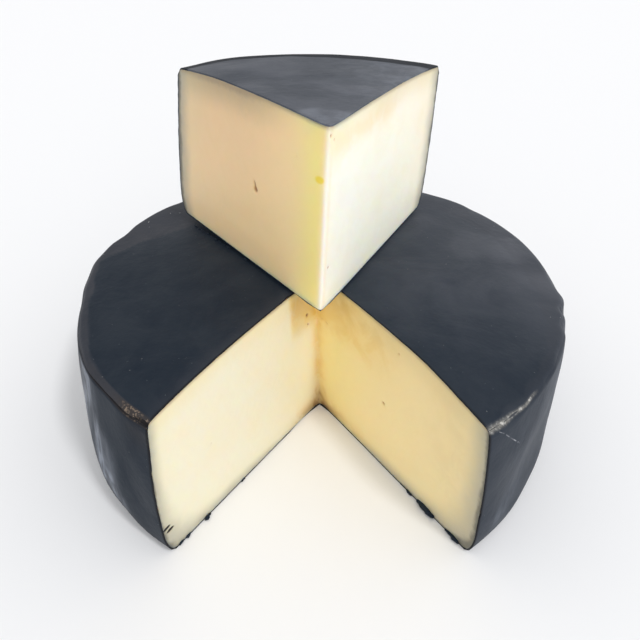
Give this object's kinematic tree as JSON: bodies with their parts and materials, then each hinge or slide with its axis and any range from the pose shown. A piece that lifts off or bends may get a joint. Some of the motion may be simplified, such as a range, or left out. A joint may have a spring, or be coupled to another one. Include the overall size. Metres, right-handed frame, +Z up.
{
  "type": "cheese wheel",
  "caption": "Black-coated semi-hard cheese wheel, cut open with a V notch, its own wedge laid on top with the tip over the notch.",
  "frame": {"origin": "on the wheel's axis, on the flat face that the wheel rests on", "axes": "+Z up along the wheel's axis; the notch opens towards -Y"},
  "size_m": [0.229, 0.2098, 0.1618],
  "materials": {
    "paste": "smooth knife-cut cheese, satin, slightly translucent",
    "coat": "thin black cheese coat, matte, dull and rubbed"
  },
  "bodies": {
    "root": {"wheel_paste": "paste", "wheel_coat": "coat", "wedge_paste": "paste", "wedge_coat": "coat"}
  },
  "joints": []
}
